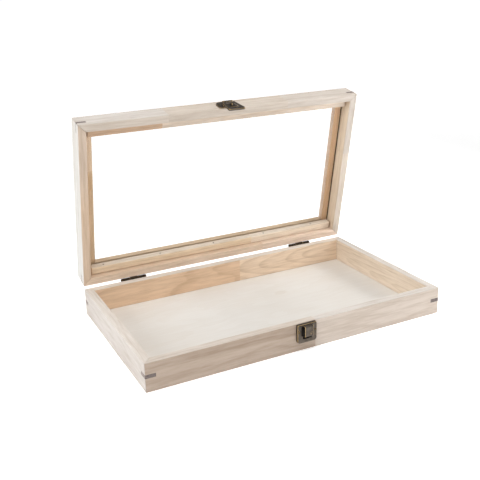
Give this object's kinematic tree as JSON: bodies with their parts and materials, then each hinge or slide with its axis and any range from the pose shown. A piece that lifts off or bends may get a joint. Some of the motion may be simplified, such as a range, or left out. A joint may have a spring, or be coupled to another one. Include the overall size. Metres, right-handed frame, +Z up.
{
  "type": "tabletop display case",
  "caption": "Shallow mitred wooden display box with a glazed lid on two butt hinges and a swinging hasp; the lid stands open.",
  "frame": {"origin": "centre of the case's underside, on the surface that it stands on", "axes": "+X to the right along the front, +Y from the front to the hinges, +Z up"},
  "size_m": [0.35, 0.2312, 0.2358],
  "materials": {
    "pale_wood": "bare sanded pale wood",
    "plywood": "bare sanded plywood face",
    "dark_spline": "dark dyed wood, trimmed flush",
    "glass": "clear float glass",
    "antique_bronze": "dark antique plating rubbed through on the edges",
    "brass_nail": "dull brass"
  },
  "bodies": {
    "base": {"base_front_wall": "pale_wood", "base_back_wall": "pale_wood", "base_left_wall": "pale_wood", "base_right_wall": "pale_wood", "bottom_panel": "plywood", "base_key_front_left": "dark_spline", "base_key_front_right": "dark_spline", "base_key_back_left": "dark_spline", "base_key_back_right": "dark_spline", "hinge_left_base_leaf": "antique_bronze", "hinge_left_pin": "antique_bronze", "hinge_left_base_nail_1": "brass_nail", "hinge_left_base_nail_2": "brass_nail", "hinge_right_base_leaf": "antique_bronze", "hinge_right_pin": "antique_bronze", "hinge_right_base_nail_1": "brass_nail", "hinge_right_base_nail_2": "brass_nail", "catch_plate": "antique_bronze", "catch_nail_left": "brass_nail", "catch_nail_right": "brass_nail"},
    "lid": {"lid_front_rail": "pale_wood", "lid_back_rail": "pale_wood", "lid_left_rail": "pale_wood", "lid_right_rail": "pale_wood", "lid_key_front_left": "dark_spline", "lid_key_front_right": "dark_spline", "lid_key_back_left": "dark_spline", "lid_key_back_right": "dark_spline", "glass_pane": "glass", "glazing_bead_front": "pale_wood", "glazing_bead_back": "pale_wood", "bead_brad_front_1": "brass_nail", "bead_brad_front_2": "brass_nail", "bead_brad_front_3": "brass_nail", "bead_brad_front_4": "brass_nail", "bead_brad_front_5": "brass_nail", "bead_brad_back_1": "brass_nail", "bead_brad_back_2": "brass_nail", "bead_brad_back_3": "brass_nail", "bead_brad_back_4": "brass_nail", "bead_brad_back_5": "brass_nail", "hinge_left_lid_leaf": "antique_bronze", "hinge_left_lid_nail_1": "brass_nail", "hinge_left_lid_nail_2": "brass_nail", "hinge_right_lid_leaf": "antique_bronze", "hinge_right_lid_nail_1": "brass_nail", "hinge_right_lid_nail_2": "brass_nail", "hasp_plate": "antique_bronze", "hasp_pin": "antique_bronze", "hasp_nail_left": "brass_nail", "hasp_nail_right": "brass_nail"},
    "flap": {"hasp_flap": "antique_bronze"}
  },
  "joints": [
    {"name": "lid_hinge", "type": "hinge", "parent": "base", "child": "lid", "pos_m": [0, 0.1014, 0.03085], "axis": [-1, 0, 0], "range_deg": [-79, 101]},
    {"name": "hasp_swing", "type": "hinge", "parent": "lid", "child": "flap", "pos_m": [0, 0.06835, 0.23418], "axis": [-1, 0, 0], "range_deg": [0, 165]}
  ]
}
